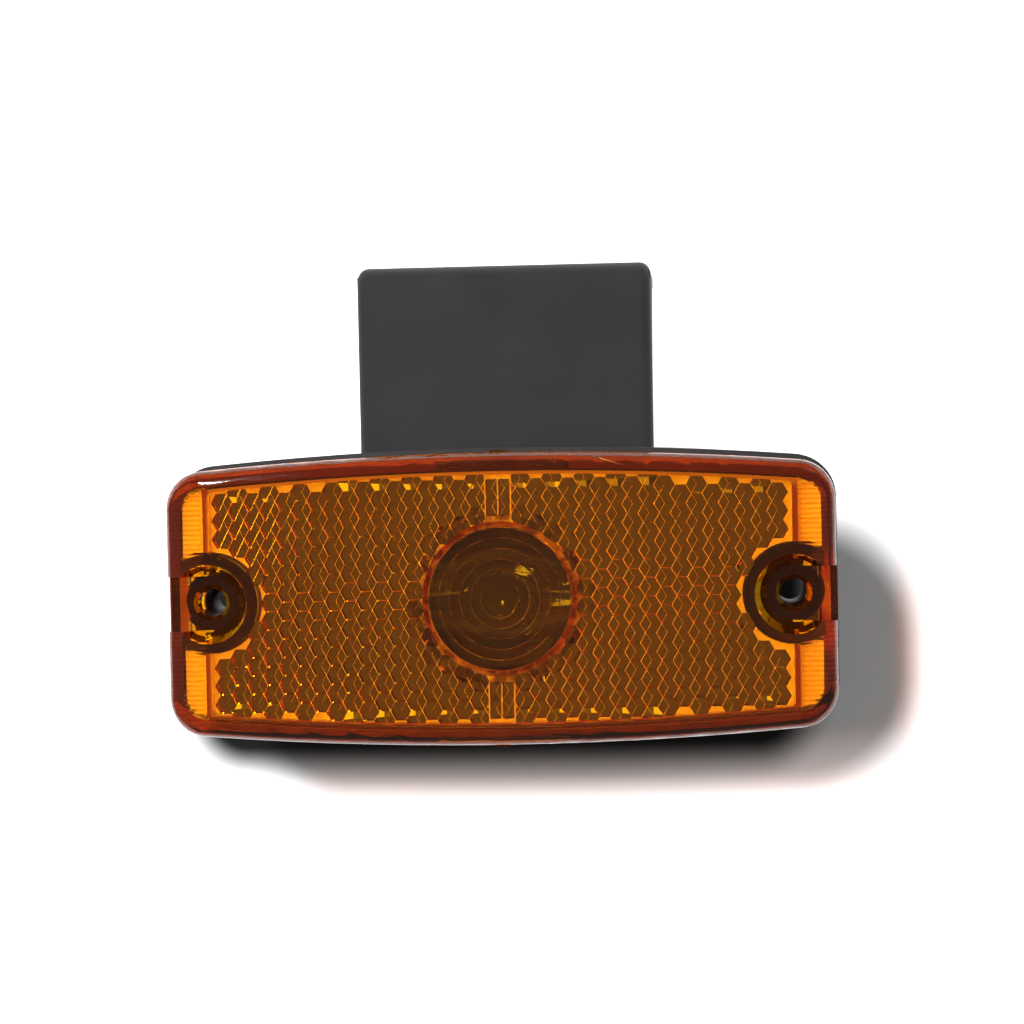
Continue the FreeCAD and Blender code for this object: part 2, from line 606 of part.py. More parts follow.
def bent_strip():
    """The right contact's strip before piercing: a leaf and a foot with one round bend."""
    top = BULB_DEPTH - CONTACT_TOP
    outer = CONTACT_BEND + CONTACT_THICKNESS
    low = -CONTACT_WIDTH / 2
    inner_x = LEAF_X + CONTACT_THICKNESS
    far_x = LEAF_X + CONTACT_FOOT
    centre_x = LEAF_X + outer
    centre_depth = PAD_DEPTH - outer
    turn = math.sqrt(0.5)
    outside = Part.Arc(at(LEAF_X, centre_depth, low),
                       at(centre_x - outer * turn, centre_depth + outer * turn, low),
                       at(centre_x, PAD_DEPTH, low)).toShape()
    inside = Part.Arc(at(centre_x, FOOT_TOP, low),
                      at(centre_x - CONTACT_BEND * turn, centre_depth + CONTACT_BEND * turn, low),
                      at(inner_x, centre_depth, low)).toShape()
    foot = Part.makePolygon([at(centre_x, PAD_DEPTH, low), at(far_x, PAD_DEPTH, low),
                             at(far_x, FOOT_TOP, low), at(centre_x, FOOT_TOP, low)])
    leaf = Part.makePolygon([at(inner_x, centre_depth, low), at(inner_x, top, low),
                             at(LEAF_X, top, low), at(LEAF_X, centre_depth, low)])
    outline = Part.Wire([outside] + foot.Edges + [inside] + leaf.Edges)
    return Part.Face(outline).extrude(Vector(0, 0, CONTACT_WIDTH))


def make_contact():
    """The right contact: its leaf holds the cap's cone and its foot is staked and clamped."""
    slope = (CAP_RADIUS - CAP_TIP_RADIUS) / CAP_CONE
    seat = CAP_RADIUS - slope * CONTACT_BITE + CONTACT_CLEARANCE
    start = at(LEAF_X - BEYOND, BULB_DEPTH, 0)
    hole = Part.makeCylinder(seat, CONTACT_THICKNESS + 2 * BEYOND, start, Vector(1, 0, 0))
    stake = rod(STAKE_X, 0, STAKE_RADIUS, FOOT_TOP - BEYOND, PAD_DEPTH + BEYOND)
    screw = rod(TERMINAL_X, 0, TERMINAL_SHANK_RADIUS, FOOT_TOP - BEYOND, PAD_DEPTH + BEYOND)
    return bent_strip().cut([hole, stake, screw])


def make_terminal_screws():
    """Slotted screws that clamp the wires, one on each contact's foot."""
    seat = FOOT_TOP - CLAMP_THICKNESS
    top = seat - TERMINAL_HEAD_HEIGHT
    shank = rod(TERMINAL_X, 0, TERMINAL_SHANK_RADIUS, seat, PAD_DEPTH + TERMINAL_REACH)
    screw = shank.fuse(rod(TERMINAL_X, 0, TERMINAL_HEAD_RADIUS, top, seat))
    thin = TERMINAL_SLOT_WIDTH / 2
    reach = TERMINAL_HEAD_RADIUS + BEYOND
    slot = brick(TERMINAL_X - thin, TERMINAL_X + thin, top - BEYOND, top + TERMINAL_SLOT_DEPTH, -reach, reach)
    return Part.Compound(pair(screw.cut(slot)))


def pierced_square(side, depth, end):
    """A square plate under a terminal screw, with the screw's hole."""
    hole = rod(TERMINAL_X, 0, TERMINAL_SHANK_RADIUS, depth - BEYOND, end + BEYOND)
    return Part.Compound(pair(square(TERMINAL_X, side, depth, end).cut(hole)))


def make_terminal_clamps():
    """Square washers that press the wires on the contacts' feet."""
    return pierced_square(CLAMP_SIDE, FOOT_TOP - CLAMP_THICKNESS, FOOT_TOP)


def make_terminal_nuts():
    """Square nuts let into the pads under the contacts' feet."""
    return pierced_square(NUT_SIDE, PAD_DEPTH, PAD_DEPTH + NUT_HEIGHT)


def make_cable_grommet():
    """The rubber grommet in the base's floor: lip inside, flange outside, a bore for the cable."""
    lip = FLOOR_DEPTH - GROMMET_LIP
    flange = LAMP_DEPTH + GROMMET_FLANGE
    sections = [(GROMMET_BORE_RADIUS, lip), (GROMMET_NECK_RADIUS, lip), (GROMMET_LIP_RADIUS, FLOOR_DEPTH),
                (GROMMET_NECK_RADIUS, FLOOR_DEPTH), (GROMMET_NECK_RADIUS, LAMP_DEPTH),
                (GROMMET_FLANGE_RADIUS, LAMP_DEPTH), (GROMMET_NECK_RADIUS, flange),
                (GROMMET_BORE_RADIUS, flange)]
    profile = [at(radius, depth, -GROMMET_DROP) for radius, depth in sections]
    face = Part.Face(Part.makePolygon(profile + profile[:1]))
    return face.revolve(at(0, 0, -GROMMET_DROP), Vector(0, 1, 0), 360)


def bent_plate():
    """The bracket's plate and flange as one angle with a round bend, before its holes."""
    x = -BRACKET_WIDTH / 2
    front = LAMP_BACK_Y
    back = front + BRACKET_THICKNESS
    rear = front + BRACKET_DEPTH
    tail = AXIS_Z - BRACKET_TAIL
    turn = 1 - math.sqrt(0.5)
    outside = Part.Arc(Vector(x, front, -BEND_RADIUS),
                       Vector(x, front + BEND_RADIUS * turn, -BEND_RADIUS * turn),
                       Vector(x, front + BEND_RADIUS, 0)).toShape()
    under = -BRACKET_THICKNESS
    inside = Part.Arc(Vector(x, back + BEND_INNER_RADIUS, under),
                      Vector(x, back + BEND_INNER_RADIUS * turn, under - BEND_INNER_RADIUS * turn),
                      Vector(x, back, under - BEND_INNER_RADIUS)).toShape()
    flange = Part.makePolygon([Vector(x, front + BEND_RADIUS, 0), Vector(x, rear, 0),
                               Vector(x, rear, under), Vector(x, back + BEND_INNER_RADIUS, under)])
    plate = Part.makePolygon([Vector(x, back, under - BEND_INNER_RADIUS), Vector(x, back, tail),
                              Vector(x, front, tail), Vector(x, front, -BEND_RADIUS)])
    outline = Part.Wire([outside] + flange.Edges + [inside] + plate.Edges)
    return Part.Face(outline).extrude(Vector(BRACKET_WIDTH, 0, 0))


def round_bracket(body):
    """The angle with its corners rounded, and the edge of its front skin rounded over."""
    near = BRACKET_THICKNESS / 4

    def edges(axis, test):
        return [e for e in body.Edges if len(e.Vertexes) == 2 and all(test(v) for v in e.Vertexes)
                and abs(e.tangentAt(e.FirstParameter).dot(axis)) > 0.9]

    rear = LAMP_BACK_Y + BRACKET_DEPTH
    tail = AXIS_Z - BRACKET_TAIL
    body = body.makeFillet(FLANGE_CORNER, edges(Vector(0, 0, 1), lambda v: abs(v.Y - rear) < near))
    body = body.makeFillet(TAIL_CORNER, edges(Vector(0, 1, 0), lambda v: abs(v.Z - tail) < near))
    return body.makeFillet(SKIN_ROUND, edges(Vector(0, 0, 1), lambda v: abs(v.Y - LAMP_BACK_Y) < near))


def gusset():
    """The right side web of the bracket, with a free edge drawn in to a hollow curve."""
    x = BRACKET_WIDTH / 2 - GUSSET_THICKNESS
    inside = BRACKET_THICKNESS / 2
    plate_y = LAMP_BACK_Y + inside
    low_edge = Vector(x, LAMP_BACK_Y + BRACKET_THICKNESS, -GUSSET_HEIGHT)
    rear_edge = Vector(x, LAMP_BACK_Y + GUSSET_DEPTH, -BRACKET_THICKNESS)
    across = rear_edge - low_edge
    inward = Vector(0, -across.z, across.y).normalize()
    free = Part.Arc(low_edge, low_edge + across * 0.5 + inward * GUSSET_HOLLOW, rear_edge).toShape()
    hidden = Part.makePolygon([rear_edge, Vector(x, rear_edge.y, -inside), Vector(x, plate_y, -inside),
                               Vector(x, plate_y, low_edge.z), low_edge])
    return Part.Face(Part.Wire([free] + hidden.Edges)).extrude(Vector(GUSSET_THICKNESS, 0, 0))


def slot_cutter():
    """The right slot through the flange, with round ends, running along X."""
    x = SLOT_SPACING / 2
    radius = SLOT_WIDTH / 2
    reach = SLOT_LENGTH / 2 - radius
    low = -BRACKET_THICKNESS - BEYOND
    height = BRACKET_THICKNESS + 2 * BEYOND
    ends = [Part.makeCylinder(radius, height, Vector(x + s * reach, 0, low)) for s in (-1, 1)]
    return Part.makeBox(2 * reach, SLOT_WIDTH, height, Vector(x - reach, -radius, low)).fuse(ends)


def make_bracket():
    """The moulded angle: a plate behind the lamp, a flange on top and a web at each side."""
    body = round_bracket(bent_plate()).fuse(pair(gusset()))
    fixing = rod(FIXING_X, FIXING_RISE, FIXING_HOLE_RADIUS, LAMP_DEPTH - BEYOND, PLATE_BACK + BEYOND)
    return body.cut(pair(fixing) + pair(slot_cutter())).removeSplitter()


def make_bracket_washers():
    """Plain washers between the screw heads and the bracket's plate."""
    end = PLATE_BACK + WASHER_THICKNESS
    washer = rod(FIXING_X, FIXING_RISE, WASHER_RADIUS, PLATE_BACK, end)
    hole = rod(FIXING_X, FIXING_RISE, FIXING_HOLE_RADIUS, PLATE_BACK - BEYOND, end + BEYOND)
    return Part.Compound(pair(washer.cut(hole)))


def make_bracket_screws():
    """Pan-headed screws with a cross recess, from behind through the plate into the base."""
    seat = PLATE_BACK + WASHER_THICKNESS
    top = seat + FIXING_HEAD_HEIGHT
    shank = rod(FIXING_X, FIXING_RISE, FIXING_SHANK_RADIUS, LAMP_DEPTH - FIXING_BITE, seat)
    crown = top - FIXING_CROWN_HEIGHT
    head = rod(FIXING_X, FIXING_RISE, FIXING_HEAD_RADIUS, seat, crown)
    head = head.fuse(taper(FIXING_X, FIXING_RISE, FIXING_HEAD_RADIUS, crown, FIXING_CROWN_RADIUS, top))
    cross = []
    for half_x, half_z in ((CROSS_LENGTH / 2, CROSS_WIDTH / 2), (CROSS_WIDTH / 2, CROSS_LENGTH / 2)):
        cross.append(brick(FIXING_X - half_x, FIXING_X + half_x, top - CROSS_DEPTH, top + BEYOND,
                           FIXING_RISE - half_z, FIXING_RISE + half_z))
    return Part.Compound(pair(shank.fuse(head).cut(cross)))


def make_parts():
    """Every piece of the lamp by its name."""
    cap_right, cap_left = pair(make_bulb_cap())
    lead_right, lead_left = pair(make_bulb_lead())
    contact_right, contact_left = pair(make_contact())
    return {
        "lens": make_lens(),
        "reflex_backing": make_reflex_backing(),
        "lens_gasket": make_lens_gasket(),
        "base_housing": make_base_housing(),
        "bulb_envelope": make_bulb_envelope(),
        "bulb_filament": make_bulb_filament(),
        "bulb_cap_left": cap_left,
        "bulb_cap_right": cap_right,
        "bulb_lead_left": lead_left,
        "bulb_lead_right": lead_right,
        "contact_left": contact_left,
        "contact_right": contact_right,
        "terminal_screws": make_terminal_screws(),
        "terminal_clamps": make_terminal_clamps(),
        "terminal_nuts": make_terminal_nuts(),
        "cable_grommet": make_cable_grommet(),
        "bracket": make_bracket(),
        "bracket_washers": make_bracket_washers(),
        "bracket_screws": make_bracket_screws(),
    }


def main():
    os.makedirs("parts", exist_ok=True)
    for name, shape in make_parts().items():
        volume = sum(solid.Volume for solid in shape.Solids)
        print(name, len(shape.Solids), "solids", round(volume, 1), "mm3", len(shape.Faces), "faces",
              "valid" if shape.isValid() else "not valid")
        shape.exportStep(f"parts/{name}.step")


main()
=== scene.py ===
import bmesh
import bpy
import math
from mathutils import Matrix, Vector


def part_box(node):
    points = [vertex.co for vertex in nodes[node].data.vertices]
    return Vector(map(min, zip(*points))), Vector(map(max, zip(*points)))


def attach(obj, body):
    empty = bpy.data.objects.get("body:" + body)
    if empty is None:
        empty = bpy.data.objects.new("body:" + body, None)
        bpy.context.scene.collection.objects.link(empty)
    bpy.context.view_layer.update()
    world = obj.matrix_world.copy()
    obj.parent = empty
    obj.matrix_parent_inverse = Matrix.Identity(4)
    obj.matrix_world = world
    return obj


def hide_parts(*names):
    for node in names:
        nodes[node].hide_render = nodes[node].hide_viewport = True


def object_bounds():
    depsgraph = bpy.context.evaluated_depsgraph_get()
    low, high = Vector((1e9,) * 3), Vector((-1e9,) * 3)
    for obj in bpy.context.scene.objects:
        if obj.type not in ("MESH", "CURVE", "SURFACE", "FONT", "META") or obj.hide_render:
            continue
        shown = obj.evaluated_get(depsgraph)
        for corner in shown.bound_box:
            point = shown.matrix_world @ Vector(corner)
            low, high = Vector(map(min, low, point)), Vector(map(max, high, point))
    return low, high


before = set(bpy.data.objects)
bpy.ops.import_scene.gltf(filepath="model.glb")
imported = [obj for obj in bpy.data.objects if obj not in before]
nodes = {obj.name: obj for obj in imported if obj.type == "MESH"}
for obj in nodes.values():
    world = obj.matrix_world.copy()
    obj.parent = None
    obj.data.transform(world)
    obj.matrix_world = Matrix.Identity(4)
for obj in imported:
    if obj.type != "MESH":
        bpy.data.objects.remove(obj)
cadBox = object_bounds()
mm = 0.001
lensLow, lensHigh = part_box("lens")
lampAxis = Vector((0, 0, (lensLow.z + lensHigh.z) / 2))  # height of the lamp's own axis
frontY = lensLow.y
print("frame loaded:", len(nodes), "nodes")


# shared helpers

def newMaterial(name):
    material = bpy.data.materials.new(name)
    material.use_nodes = True
    return material, material.node_tree, material.node_tree.nodes["Principled BSDF"]


def addNode(tree, kind, settings=None, **values):
    node = tree.nodes.new(kind)
    for key, value in (settings or {}).items():
        setattr(node, key, value)
    for key, value in values.items():
        node.inputs[key.replace("_", " ")].default_value = value
    return node


def feed(tree, socket, value):  # links a socket, or sets a number or a colour
    if isinstance(value, bpy.types.NodeSocket):
        tree.links.new(value, socket)
    else:
        socket.default_value = (*value, 1) if isinstance(value, tuple) else value


def axes(tree, source="Object"):  # X, Y and Z of a coordinate
    place = addNode(tree, "ShaderNodeTexCoord")
    split = addNode(tree, "ShaderNodeSeparateXYZ")
    tree.links.new(place.outputs[source], split.inputs["Vector"])
    return split.outputs


def objectNoise(tree, scale, detail, stretch=(1, 1, 1)):
    place = addNode(tree, "ShaderNodeTexCoord")
    turn = addNode(tree, "ShaderNodeMapping", Scale=stretch)
    noise = addNode(tree, "ShaderNodeTexNoise", Scale=scale, Detail=detail)
    tree.links.new(place.outputs["Object"], turn.inputs["Vector"])
    tree.links.new(turn.outputs["Vector"], noise.inputs["Vector"])
    return noise.outputs["Fac"]


def colourRamp(tree, source, low, high, start=0.35, end=0.65):
    ramp = addNode(tree, "ShaderNodeValToRGB")
    ramp.color_ramp.elements[0].position = start
    ramp.color_ramp.elements[1].position = end
    ramp.color_ramp.elements[0].color = (*low, 1)
    ramp.color_ramp.elements[1].color = (*high, 1)
    tree.links.new(source, ramp.inputs["Fac"])
    return ramp.outputs["Color"]


def spread(tree, source, low, high, start=0.0, end=1.0):  # start..end of a pattern stretched to low..high
    ranger = addNode(tree, "ShaderNodeMapRange", From_Min=start, From_Max=end, To_Min=low, To_Max=high)
    tree.links.new(source, ranger.inputs["Value"])
    return ranger.outputs["Result"]


def calc(tree, operation, first, second=0.0):  # one step of arithmetic on sockets or numbers
    step = addNode(tree, "ShaderNodeMath", {"operation": operation})
    for socket, value in zip(step.inputs, (first, second)):
        feed(tree, socket, value)
    return step.outputs["Value"]


def mixColour(tree, share, first, second):  # two colours or sockets, blended by a socket
    mixer = addNode(tree, "ShaderNodeMix", {"data_type": "RGBA"})
    sockets = {socket.identifier: socket for socket in (*mixer.inputs, *mixer.outputs)}
    tree.links.new(share, mixer.inputs["Factor"])
    feed(tree, sockets["A_Color"], first)
    feed(tree, sockets["B_Color"], second)
    return sockets["Result_Color"]


def mixShaders(tree, share, first, second):
    mixer = addNode(tree, "ShaderNodeMixShader")
    for socket, value in zip(mixer.inputs, (share, first, second)):
        feed(tree, socket, value)
    return mixer.outputs["Shader"]


def addBump(tree, shader, source, depth):
    bump = addNode(tree, "ShaderNodeBump", Strength=1.0, Distance=depth)
    tree.links.new(source, bump.inputs["Height"])
    tree.links.new(bump.outputs["Normal"], shader.inputs["Normal"])


def makeObject(name, data):
    piece = bpy.data.objects.new(name, data)
    bpy.context.scene.collection.objects.link(piece)
    return piece


def plainMesh(piece):  # bakes the modifiers into the mesh and takes them off
    graph = bpy.context.evaluated_depsgraph_get()
    baked = bpy.data.meshes.new_from_object(piece.evaluated_get(graph))
    piece.modifiers.clear()
    piece.data = baked


def dress(piece, material, slot, *replaced):
    piece.data.materials.clear()
    piece.data.materials.append(material)
    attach(piece, "root")
    if replaced:
        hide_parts(*replaced)


def dressNode(node, material):
    nodes[node].data.materials.clear()
    nodes[node].data.materials.append(material)


# amber lens

lensLook = {
    "weld": 0.002 * mm, "sliver": 0.001 * mm,   # points this near are joined, edges this short are dropped
    "seams": {
        "width": 0.30 * mm,                     # widest chamfer on the edges between prism faces
        "shares": {                             # share of it by lean in the front view: hollow edge, ridge
            60: (1.0, 0.45),
            120: (0.6, 0.35),
        },
        "slack": 10.0,                          # degrees of lean
        "flat": 0.999,                          # faces that agree this well are one face
    },
    "rings": {                                  # edges of the stepped optic, chamfered in full
        "inner": 2.0 * mm, "outer": 11.05 * mm, "behind": 2.0 * mm,
        "turn": 0.5, "slack": 0.01 * mm,        # smallest angle in radians, and slack on the radius
    },
    "rounding": {                               # front rounding of the long walls
        "step": 0.5 * mm, "radius": 2.0 * mm, "half": 45.9 * mm, "rise": 16.5 * mm,
        "slack": 0.01 * mm, "arcSlack": 0.02 * mm, "flatAngle": 0.05,
    },
    "walls": {                                  # the long bowed walls, found by lean, height and area
        "cuts": 4, "front": 0.002, "up": 0.98, "rise": 17.0 * mm, "area": 20.0 * mm * mm, "edge": 2.0 * mm,
    },
    "shading": {
        "angle": 28.0,                          # sharper edges stay sharp
        "upright": 0.001, "facing": 0.9999,     # front lean of plain faces, which lead the shading
        "lead": 1e6, "agree": 0.7,              # their weight, and how near an exact normal has to be
    },
    "tint": (1.0, 0.80, 0.42), "ior": 1.49,
    "optic": {                                  # painted shade: a darker disc standing in for the dark inside seen through the optic, and a ring round it blotched with painted light and shade
        "edge": 10.9 * mm, "clear": (0.85, 0.76, 0.46),
        "ring": 13.0 * mm, "paintedDim": (0.25, 0.14, 0.06), "blobs": (520.0, 2.0), "broken": (0.45, 0.58),
    },
    "flutes": {                                 # painted shade: darker lines in the end bands, standing in for the shading of the fine flute ribs
        "pitch": 0.75 * mm, "start": 45.9 * mm, "tint": (0.8, 0.45, 0.1), "fade": (0.2, 0.9),
    },
    "absorb": (0.957, 0.875, 0.2), "density": 900.0,   # density per metre
    "haze": (0.9, 0.28, 0.02), "hazeShare": 0.014,
    "shadow": {                                 # light let through in shadows, by front and by side faces
        "face": (0.90, 0.66, 0.20), "wall": (0.72, 0.34, 0.08), "lean": (0.3, 0.8),
    },
    "polish": (180.0, 3.0), "roughness": (0.01, 0.04),
}
prismLean, prismSlack = math.sqrt(1 / 3), 0.01  # a cube corner's faces all lean 54.7 degrees from the front


def paintedFluteLines(tree, look):  # waves of painted shade along the fine flute ribs near both ends, 0 elsewhere
    place = axes(tree)
    wave = calc(tree, "SINE", calc(tree, "MULTIPLY", place["Z"], 2 * math.pi / look["pitch"]))
    inBand = calc(tree, "GREATER_THAN", calc(tree, "ABSOLUTE", place["X"]), look["start"])
    return calc(tree, "MULTIPLY", inBand, wave)


def paintedOpticShade(tree, look, around):  # painted shade: a darker disc in the middle for the dark inside seen through it, and painted broken light and shade in the ring that frames it
    place = axes(tree)
    rise = calc(tree, "SUBTRACT", place["Z"], lampAxis.z)
    square = calc(tree, "ADD", calc(tree, "POWER", place["X"], 2.0), calc(tree, "POWER", rise, 2.0))
    reach = calc(tree, "SQRT", square)
    blobs = spread(tree, objectNoise(tree, *look["blobs"]), 0.0, 1.0, *look["broken"])
    paintedMottle = mixColour(tree, blobs, look["paintedDim"], around)
    ringed = mixColour(tree, calc(tree, "LESS_THAN", reach, look["ring"]), around, paintedMottle)
    return mixColour(tree, calc(tree, "LESS_THAN", reach, look["edge"]), ringed, look["clear"])


def amberMaterial(look):
    material, tree, shader = newMaterial("amber_acrylic")
    flutes, shadow = look["flutes"], look["shadow"]
    # painted shade lines of the flute ribs, blended into the lens's own tint
    colour = colourRamp(tree, paintedFluteLines(tree, flutes), look["tint"], flutes["tint"], *flutes["fade"])
    # the base colour carries the painted shade of the optic and the painted lines of the end bands
    tree.links.new(paintedOpticShade(tree, look["optic"], colour), shader.inputs["Base Color"])
    shader.inputs["Transmission Weight"].default_value = 1.0
    shader.inputs["IOR"].default_value = look["ior"]
    polish = spread(tree, objectNoise(tree, *look["polish"]), *look["roughness"])
    tree.links.new(polish, shader.inputs["Roughness"])
    cloudy = addNode(tree, "ShaderNodeBsdfDiffuse", Color=(*look["haze"], 1))
    body = mixShaders(tree, look["hazeShare"], shader.outputs["BSDF"], cloudy.outputs["BSDF"])
    clear = addNode(tree, "ShaderNodeBsdfTransparent")
    facing = calc(tree, "ABSOLUTE", axes(tree, "Normal")["Y"])
    through = colourRamp(tree, facing, shadow["wall"], shadow["face"], *shadow["lean"])
    tree.links.new(through, clear.inputs["Color"])
    rays = addNode(tree, "ShaderNodeLightPath")
    whole = mixShaders(tree, rays.outputs["Is Shadow Ray"], body, clear.outputs["BSDF"])
    volume = addNode(tree, "ShaderNodeVolumeAbsorption", Color=(*look["absorb"], 1), Density=look["density"])
    output = tree.nodes["Material Output"]
    tree.links.new(whole, output.inputs["Surface"])
    tree.links.new(volume.outputs["Volume"], output.inputs["Volume"])
    return material


def mergedCopy(node, look):  # a welded copy of a CAD node's mesh, free to be worked on
    bm = bmesh.new()
    bm.from_mesh(nodes[node].data)
    bmesh.ops.remove_doubles(bm, verts=bm.verts, dist=look["weld"])
    bmesh.ops.dissolve_degenerate(bm, edges=bm.edges, dist=look["sliver"])
    return bm


def isPrismFace(face):
    return abs(abs(face.normal.y) - prismLean) < prismSlack


def isRingEdge(edge, look):  # a crest or a root of the stepped optic, inside the lens
    if len(edge.link_faces) != 2 or edge.calc_face_angle() < look["turn"]:
        return False
    if min(v.co.y for v in edge.verts) < frontY + look["behind"]:
        return False
    first, second = (math.hypot(v.co.x, v.co.z - lampAxis.z) for v in edge.verts)
    return look["inner"] < first < look["outer"] and abs(first - second) < look["slack"]


def weighPrisms(bm, seams, rings):  # marks how far each edge between prism faces is blunted
    bm.normal_update()
    prism = {f for f in bm.faces if isPrismFace(f)}
    inner = [e for e in bm.edges if len(e.link_faces) == 2 and all(f in prism for f in e.link_faces)]
    flat = [e for e in inner if e.link_faces[0].normal.dot(e.link_faces[1].normal) > seams["flat"]]
    bmesh.ops.dissolve_edges(bm, edges=flat, use_verts=False)
    weight = bm.edges.layers.float.new("bevel_weight_edge")
    marked = 0
    for edge in bm.edges:
        if isRingEdge(edge, rings):
            edge[weight] = 1.0
            marked += 1
        if len(edge.link_faces) != 2 or not all(isPrismFace(f) for f in edge.link_faces):
            continue
        way = edge.verts[1].co - edge.verts[0].co
        lean = math.degrees(math.atan2(way.z, way.x)) % 180
        for angle, (hollow, ridge) in seams["shares"].items():
            if abs(lean - angle) < seams["slack"]:
                edge[weight] = ridge if edge.is_convex else hollow
                marked += 1
    print("prism faces", len(prism), "edges marked", marked)


def inRounding(point, look):  # on the rounded front edge of the upper or the lower wall
    depth = point.y - frontY
    return (look["step"] - look["slack"] < depth < look["step"] + look["radius"] + look["slack"]
            and abs(point.x) < look["half"] and abs(point.z - lampAxis.z) > look["rise"])


def mendRounding(bm, look):  # turns the triangles that cut across the rounding, then joins flat ones
    faces = [f for f in bm.faces if all(inRounding(v.co, look) for v in f.verts)]
    inside = set(faces)
    edges = [e for e in bm.edges if len(e.link_faces) == 2 and all(f in inside for f in e.link_faces)]
    bmesh.ops.beautify_fill(bm, faces=faces, edges=edges, method="ANGLE")
    bmesh.ops.dissolve_limit(bm, angle_limit=math.radians(look["flatAngle"]), verts=[], edges=bm.edges)
    print("rounding:", len(faces), "faces mended")


def roundingNormal(arcs, look):  # exact normals of that rounding, from the arcs of its walls
    def normalAt(point):
        if not inRounding(point, look):
            return None
        middle, radius = arcs[1 if point.z > lampAxis.z else -1]
        out = Vector((point.x, 0, point.z - middle))
        if out.length < radius - look["radius"] - look["arcSlack"]:
            return None
        lean = (point.y - frontY - look["step"] - look["radius"]) / look["radius"]
        lean = max(-1.0, min(0.0, lean))
        return out.normalized() * math.sqrt(1 - lean ** 2) + Vector((0, lean, 0))
    return normalAt


def refineWalls(bm, look):  # divides the long bowed walls, and puts the new points on their arc
    bm.normal_update()
    arcs = {}
    for side in (1, -1):
        wall = [f for f in bm.faces if abs(f.normal.y) < look["front"] and side * f.normal.z > look["up"]
                and side * (f.calc_center_median().z - lampAxis.z) > look["rise"]
                and f.calc_area() > look["area"]]
        marks = sorted({v for f in wall for v in f.verts}, key=lambda v: abs(v.co.x))
        (x1, z1), (x2, z2) = ((v.co.x, v.co.z) for v in (marks[0], marks[-1]))
        middle = (x2 ** 2 - x1 ** 2 + z2 ** 2 - z1 ** 2) / (2 * (z2 - z1))
        radius = math.hypot(x1, z1 - middle)
        edges = list({e for f in wall for e in f.edges
                      if abs(e.verts[0].co.x - e.verts[1].co.x) > look["edge"]})
        made = bmesh.ops.subdivide_edges(bm, edges=edges, cuts=look["cuts"], use_grid_fill=True)
        for vert in {v for v in made["geom_inner"] if isinstance(v, bmesh.types.BMVert)}:
            vert.co.z = middle + side * math.sqrt(radius ** 2 - vert.co.x ** 2)
        arcs[side] = (middle, radius)
    print("walls' radius", round(radius / mm, 1), "mm")
    return arcs


def smoothGroups(vert, limit):  # a corner's faces, split at prism faces and where an edge is sharp
    left = set(vert.link_faces)
    while left:
        group = [left.pop()]
        for face in group:
            for edge in vert.link_edges:
                if face in edge.link_faces and len(edge.link_faces) == 2 and edge.calc_face_angle() < limit:
                    other = [f for f in edge.link_faces if f != face][0]
                    if other in left and not isPrismFace(face) and not isPrismFace(other):
                        left.remove(other)
                        group.append(other)
        yield group


def smoothShade(piece, look, exactNormal):  # each group's plain and large faces lead its normal
    mesh = piece.data
    bm = bmesh.new()
    bm.from_mesh(mesh)
    bm.normal_update()
    weight = {}
    for face in bm.faces:
        lean = abs(face.normal.y)
        plain = lean < look["upright"] or lean > look["facing"]
        weight[face] = look["lead"] if plain else (face.calc_area() / mm / mm) ** 2
    normals = [Vector((0, 0, 0))] * len(mesh.loops)
    for vert in bm.verts:
        for group in smoothGroups(vert, math.radians(look["angle"])):
            corners = [loop for loop in vert.link_loops if loop.face in group]
            parts = [loop.face.normal * loop.calc_angle() * weight[loop.face] for loop in corners]
            normal = sum(parts, Vector((0, 0, 0))).normalized()
            exact = exactNormal(vert.co)
            if exact and exact.dot(normal) > look["agree"]:
                normal = exact
            for loop in corners:
                normals[loop.index] = normal
    bm.free()
    mesh.polygons.foreach_set("use_smooth", [True] * len(mesh.polygons))
    mesh.normals_split_custom_set(normals)


def buildLens(look):
    bm = mergedCopy("lens", look)
    mendRounding(bm, look["rounding"])
    arcs = refineWalls(bm, look["walls"])
    weighPrisms(bm, look["seams"], look["rings"])
    bm.normal_update()
    mesh = bpy.data.meshes.new("lens_cover")
    bm.to_mesh(mesh)
    bm.free()
    lens = makeObject("lens_cover", mesh)
    soften = lens.modifiers.new("soften", "BEVEL")
    soften.limit_method = "WEIGHT"
    soften.width = look["seams"]["width"]
    soften.segments = 1
    plainMesh(lens)
    smoothShade(lens, look["shading"], roundingNormal(arcs, look["rounding"]))
    dress(lens, amberMaterial(look), "amber_lens", "lens")
    print("lens:", len(lens.data.polygons), "faces")


buildLens(lensLook)


# mouldings: bracket, base, grommet and gasket

mouldedLook = {
    "bracket": {"dark": (0.032, 0.032, 0.034), "pale": (0.040, 0.040, 0.042), "grain": 1400.0,
                "bump": 0.02 * mm, "rough": (0.58, 0.7), "gloss": 0.25},
    "base": {"dark": (0.027, 0.027, 0.028), "pale": (0.038, 0.038, 0.039), "grain": 1100.0,
             "bump": 0.02 * mm, "rough": (0.45, 0.6), "gloss": 0.35},
    "rubber": {"dark": (0.016, 0.016, 0.016), "pale": (0.028, 0.028, 0.027), "grain": 700.0,
               "bump": 0.03 * mm, "rough": (0.6, 0.8), "gloss": 0.25},
    "foam": {"dark": (0.40, 0.39, 0.36), "pale": (0.50, 0.49, 0.45), "grain": 900.0,
             "bump": 0.05 * mm, "rough": (0.8, 0.95), "gloss": 0.2},
    "grainDetail": 6.0, "cloud": (60.0, 3.0),   # shared: the grain's detail, the mottling's scale and detail
}


